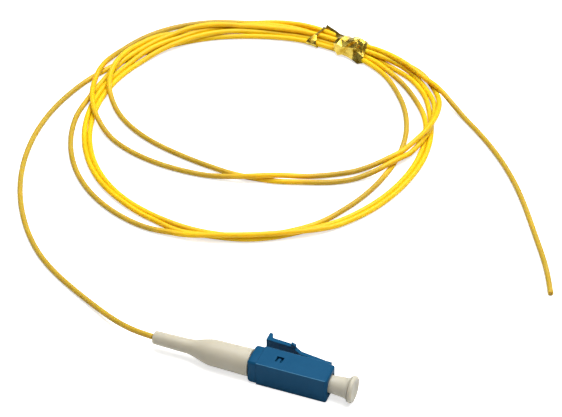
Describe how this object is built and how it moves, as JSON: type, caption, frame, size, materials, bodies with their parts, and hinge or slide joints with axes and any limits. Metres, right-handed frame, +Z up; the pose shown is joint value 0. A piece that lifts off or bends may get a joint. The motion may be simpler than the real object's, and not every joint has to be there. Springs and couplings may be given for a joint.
{
  "type": "fibre optic pigtail",
  "caption": "Small latched fibre plug lying on its side, with a dust cap and a strain relief boot, on a thin buffered fibre coiled and held by a foil twist tie.",
  "frame": {"origin": "on the floor, under the middle of the plug's own outline seen from above, cap and boot included", "axes": "+X along the plug's axis from the boot to the dust cap, +Y from the belly to the latch, which is also towards the coil, +Z up"},
  "size_m": [0.0973, 0.0913, 0.0049],
  "materials": {
    "moulded_blue": "fine moulded satin",
    "white_ceramic": "polished",
    "moulded_white": "translucent satin",
    "boot_white": "soft satin",
    "yellow_buffer": "smooth extruded",
    "gold_foil": "metallised film, crinkled"
  },
  "bodies": {
    "pigtail": {"plug_housing": "moulded_blue", "rear_collar": "moulded_blue", "ferrule": "white_ceramic", "strain_relief_boot": "boot_white", "fibre_lead": "yellow_buffer", "fibre_turn_1": "yellow_buffer", "fibre_turn_2": "yellow_buffer", "fibre_turn_3": "yellow_buffer", "fibre_turn_4": "yellow_buffer", "fibre_turn_5": "yellow_buffer", "fibre_tail": "yellow_buffer", "twist_tie": "gold_foil"},
    "latch": {"latch_arm": "moulded_blue"},
    "cap": {"dust_cap": "moulded_white"}
  },
  "joints": [
    {"name": "latch_press", "type": "hinge", "parent": "pigtail", "child": "latch", "pos_m": [0.01085, 0.0003, 0.00225], "axis": [0, 0, 1], "range_deg": [0, 9], "stiffness_Nm_per_rad": 0.03},
    {"name": "cap_pull", "type": "slide", "parent": "pigtail", "child": "cap", "axis": [1, 0, 0], "range_m": [0, 0.0062]}
  ]
}
